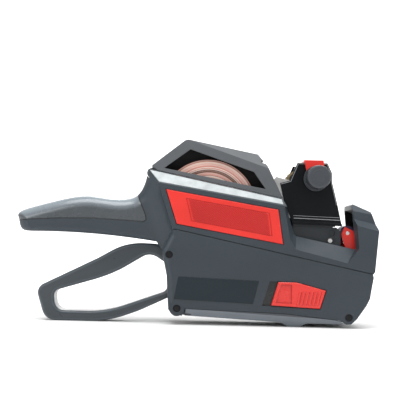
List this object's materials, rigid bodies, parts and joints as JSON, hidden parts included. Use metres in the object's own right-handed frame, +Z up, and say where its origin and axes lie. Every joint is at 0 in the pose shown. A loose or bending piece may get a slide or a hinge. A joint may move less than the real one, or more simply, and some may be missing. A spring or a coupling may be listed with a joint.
{
  "type": "handheld price labeling gun",
  "caption": "Handheld price labeling gun with a squeeze loop trigger, hinged roll cover, printing head with type bands and selector knob, and a label roll inside.",
  "frame": {"origin": "centre of the floor flap's foot, on the surface that the gun rests on", "axes": "+X forward to the nose, +Z up, -Y is the gun's right side"},
  "size_m": [0.2314, 0.0563, 0.1182],
  "materials": {
    "body_plastic": "satin",
    "gloss_dark_plastic": "gloss",
    "window_plastic": "satin",
    "red_plastic": "satin",
    "plate_paint": "satin",
    "black_screw": "satin",
    "steel": "brushed",
    "black_plastic": "satin",
    "platen_rubber": "matte",
    "band_rubber": "matte",
    "ink_felt": "matte",
    "label_paper": "matte",
    "card": "matte"
  },
  "bodies": {
    "housing": {"housing_right": "body_plastic", "housing_left": "body_plastic", "upper_housing": "body_plastic", "grip_cap": "gloss_dark_plastic", "badge_right": "red_plastic", "badge_left": "red_plastic", "info_plate": "plate_paint", "housing_screws": "black_screw", "trigger_axle": "steel", "print_arm_pins": "steel", "floor_hinge_pin": "steel", "cover_hinge_pin": "steel", "spring_post": "steel", "trigger_spring": "steel", "latch_spring": "steel", "inner_frame_right": "steel", "inner_frame_left": "steel", "frame_screws": "steel", "feed_axle": "steel", "ink_arm_axle": "steel", "application_axle": "steel", "platen": "platen_rubber", "label_chute": "black_plastic", "peel_plate": "steel", "feed_pawl": "steel", "label_strip": "label_paper", "roll_hub_right": "black_plastic", "roll_hub_left": "black_plastic"},
    "trigger_lever": {"trigger": "black_plastic"},
    "print_head": {"print_arm_right": "steel", "print_arm_left": "steel", "head_plate_right": "black_plastic", "head_plate_left": "black_plastic", "head_frame": "black_plastic", "guide_roller": "black_plastic", "type_bands": "band_rubber", "band_wheels": "black_plastic", "type_anvil": "black_plastic"},
    "ink_arm": {"ink_holder": "red_plastic", "ink_roller_axle": "steel"},
    "ink_drum": {"ink_roller": "ink_felt"},
    "pointer_slide": {"pointer": "red_plastic"},
    "selector": {"selector_knob": "black_plastic", "selector_shaft": "steel"},
    "feed_drum": {"feed_wheel": "black_plastic"},
    "exit_roller": {"application_roller": "platen_rubber"},
    "roll": {"label_roll": "label_paper", "roll_core": "card"},
    "cover": {"roll_cover": "window_plastic"},
    "flap": {"floor_flap": "window_plastic"},
    "latch_slider": {"latch": "red_plastic"}
  },
  "joints": [
    {"name": "trigger_squeeze", "type": "hinge", "parent": "housing", "child": "trigger_lever", "pos_m": [-0.0777, 0, 0.0326], "axis": [0, 1, 0], "range_deg": [0, 16], "stiffness_Nm_per_rad": 1.2, "springref_deg": -24.98, "deforming": ["trigger_spring"]},
    {"name": "print_stroke", "type": "hinge", "parent": "housing", "child": "print_head", "pos_m": [-0.073, 0, 0.052], "axis": [0, 1, 0], "range_deg": [0, 10.01]},
    {"name": "ink_swing", "type": "hinge", "parent": "housing", "child": "ink_arm", "pos_m": [0.04, 0, 0.038], "axis": [0, 1, 0], "range_deg": [0, 20.01]},
    {"name": "ink_roll", "type": "hinge", "parent": "ink_arm", "child": "ink_drum", "pos_m": [0.0336, 0, 0.0605], "axis": [0, 1, 0], "continuous": true},
    {"name": "band_select", "type": "slide", "parent": "print_head", "child": "pointer_slide", "axis": [0, -1, 0], "range_m": [0, 0.014]},
    {"name": "knob_turn", "type": "hinge", "parent": "pointer_slide", "child": "selector", "pos_m": [0.0117, 0, 0.0946], "axis": [0, -1, 0], "continuous": true},
    {"name": "feed_turn", "type": "hinge", "parent": "housing", "child": "feed_drum", "pos_m": [0.006, 0, 0.024], "axis": [0, 1, 0], "continuous": true},
    {"name": "exit_turn", "type": "hinge", "parent": "housing", "child": "exit_roller", "pos_m": [0.04, 0, 0.0178], "axis": [0, 1, 0], "continuous": true},
    {"name": "roll_turn", "type": "hinge", "parent": "housing", "child": "roll", "pos_m": [-0.0564, 0, 0.0746], "axis": [0, 1, 0], "continuous": true},
    {"name": "cover_lift", "type": "hinge", "parent": "housing", "child": "cover", "pos_m": [-0.0929, 0, 0.0963], "axis": [0, -1, 0], "range_deg": [0, 70]},
    {"name": "flap_drop", "type": "hinge", "parent": "housing", "child": "flap", "pos_m": [-0.0749, 0, 0.0104], "axis": [0, 1, 0], "range_deg": [0, 60]},
    {"name": "latch_pull", "type": "slide", "parent": "housing", "child": "latch_slider", "axis": [-1, 0, 0], "range_m": [0, 0.005], "stiffness_N_per_m": 400, "springref_m": -0.004, "deforming": ["latch_spring"]}
  ],
  "couplings": [
    {"joint": "print_stroke", "follows": "trigger_squeeze", "ratio": 0.625},
    {"joint": "ink_swing", "follows": "trigger_squeeze", "ratio": 1.25}
  ]
}
